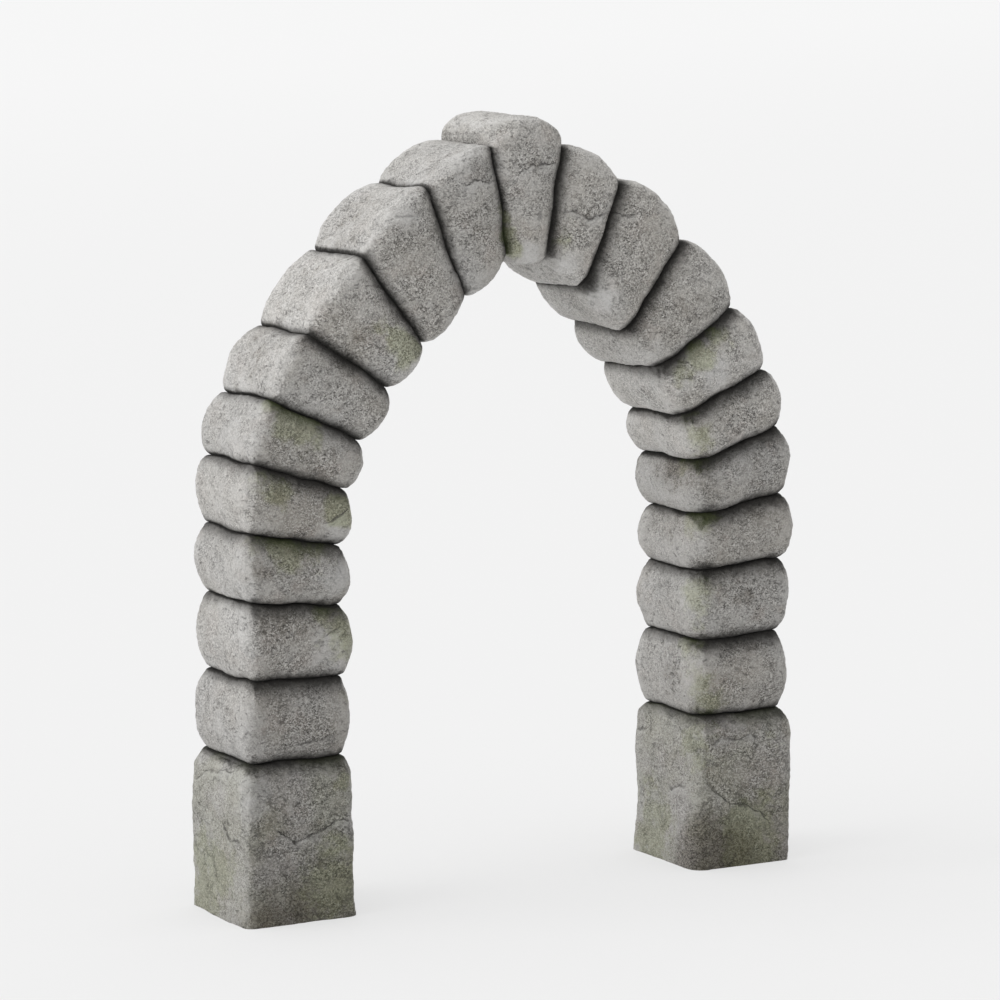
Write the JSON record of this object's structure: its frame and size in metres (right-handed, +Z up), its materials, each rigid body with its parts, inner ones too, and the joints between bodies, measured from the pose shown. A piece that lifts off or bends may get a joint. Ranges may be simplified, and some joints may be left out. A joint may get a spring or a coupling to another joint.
{
  "type": "free-standing medieval stone arch",
  "caption": "Free-standing four-centred gateway arch of rounded, dry-laid stones on tall base blocks, with a keystone standing proud.",
  "frame": {"origin": "on the ground, midway between the two piers and midway through the arch's depth", "axes": "+X along the span to the right-hand pier seen from the front, +Y from the front to the back, +Z up"},
  "size_m": [2.4643, 0.5, 3.0188],
  "materials": {
    "weathered_stone": "matt, pitted and weathered",
    "mossy_stone": "matt, pitted, with moss low down"
  },
  "bodies": {
    "root": {"left_base_block": "mossy_stone", "left_pier_1": "weathered_stone", "left_pier_2": "weathered_stone", "left_pier_3": "weathered_stone", "left_springer": "weathered_stone", "left_voussoir_1": "weathered_stone", "left_voussoir_2": "weathered_stone", "left_voussoir_3": "weathered_stone", "left_voussoir_4": "weathered_stone", "left_voussoir_5": "weathered_stone", "keystone": "weathered_stone", "right_voussoir_5": "weathered_stone", "right_voussoir_4": "weathered_stone", "right_voussoir_3": "weathered_stone", "right_voussoir_2": "weathered_stone", "right_voussoir_1": "weathered_stone", "right_springer": "weathered_stone", "right_pier_3": "weathered_stone", "right_pier_2": "weathered_stone", "right_pier_1": "weathered_stone", "right_base_block": "mossy_stone"}
  },
  "joints": []
}
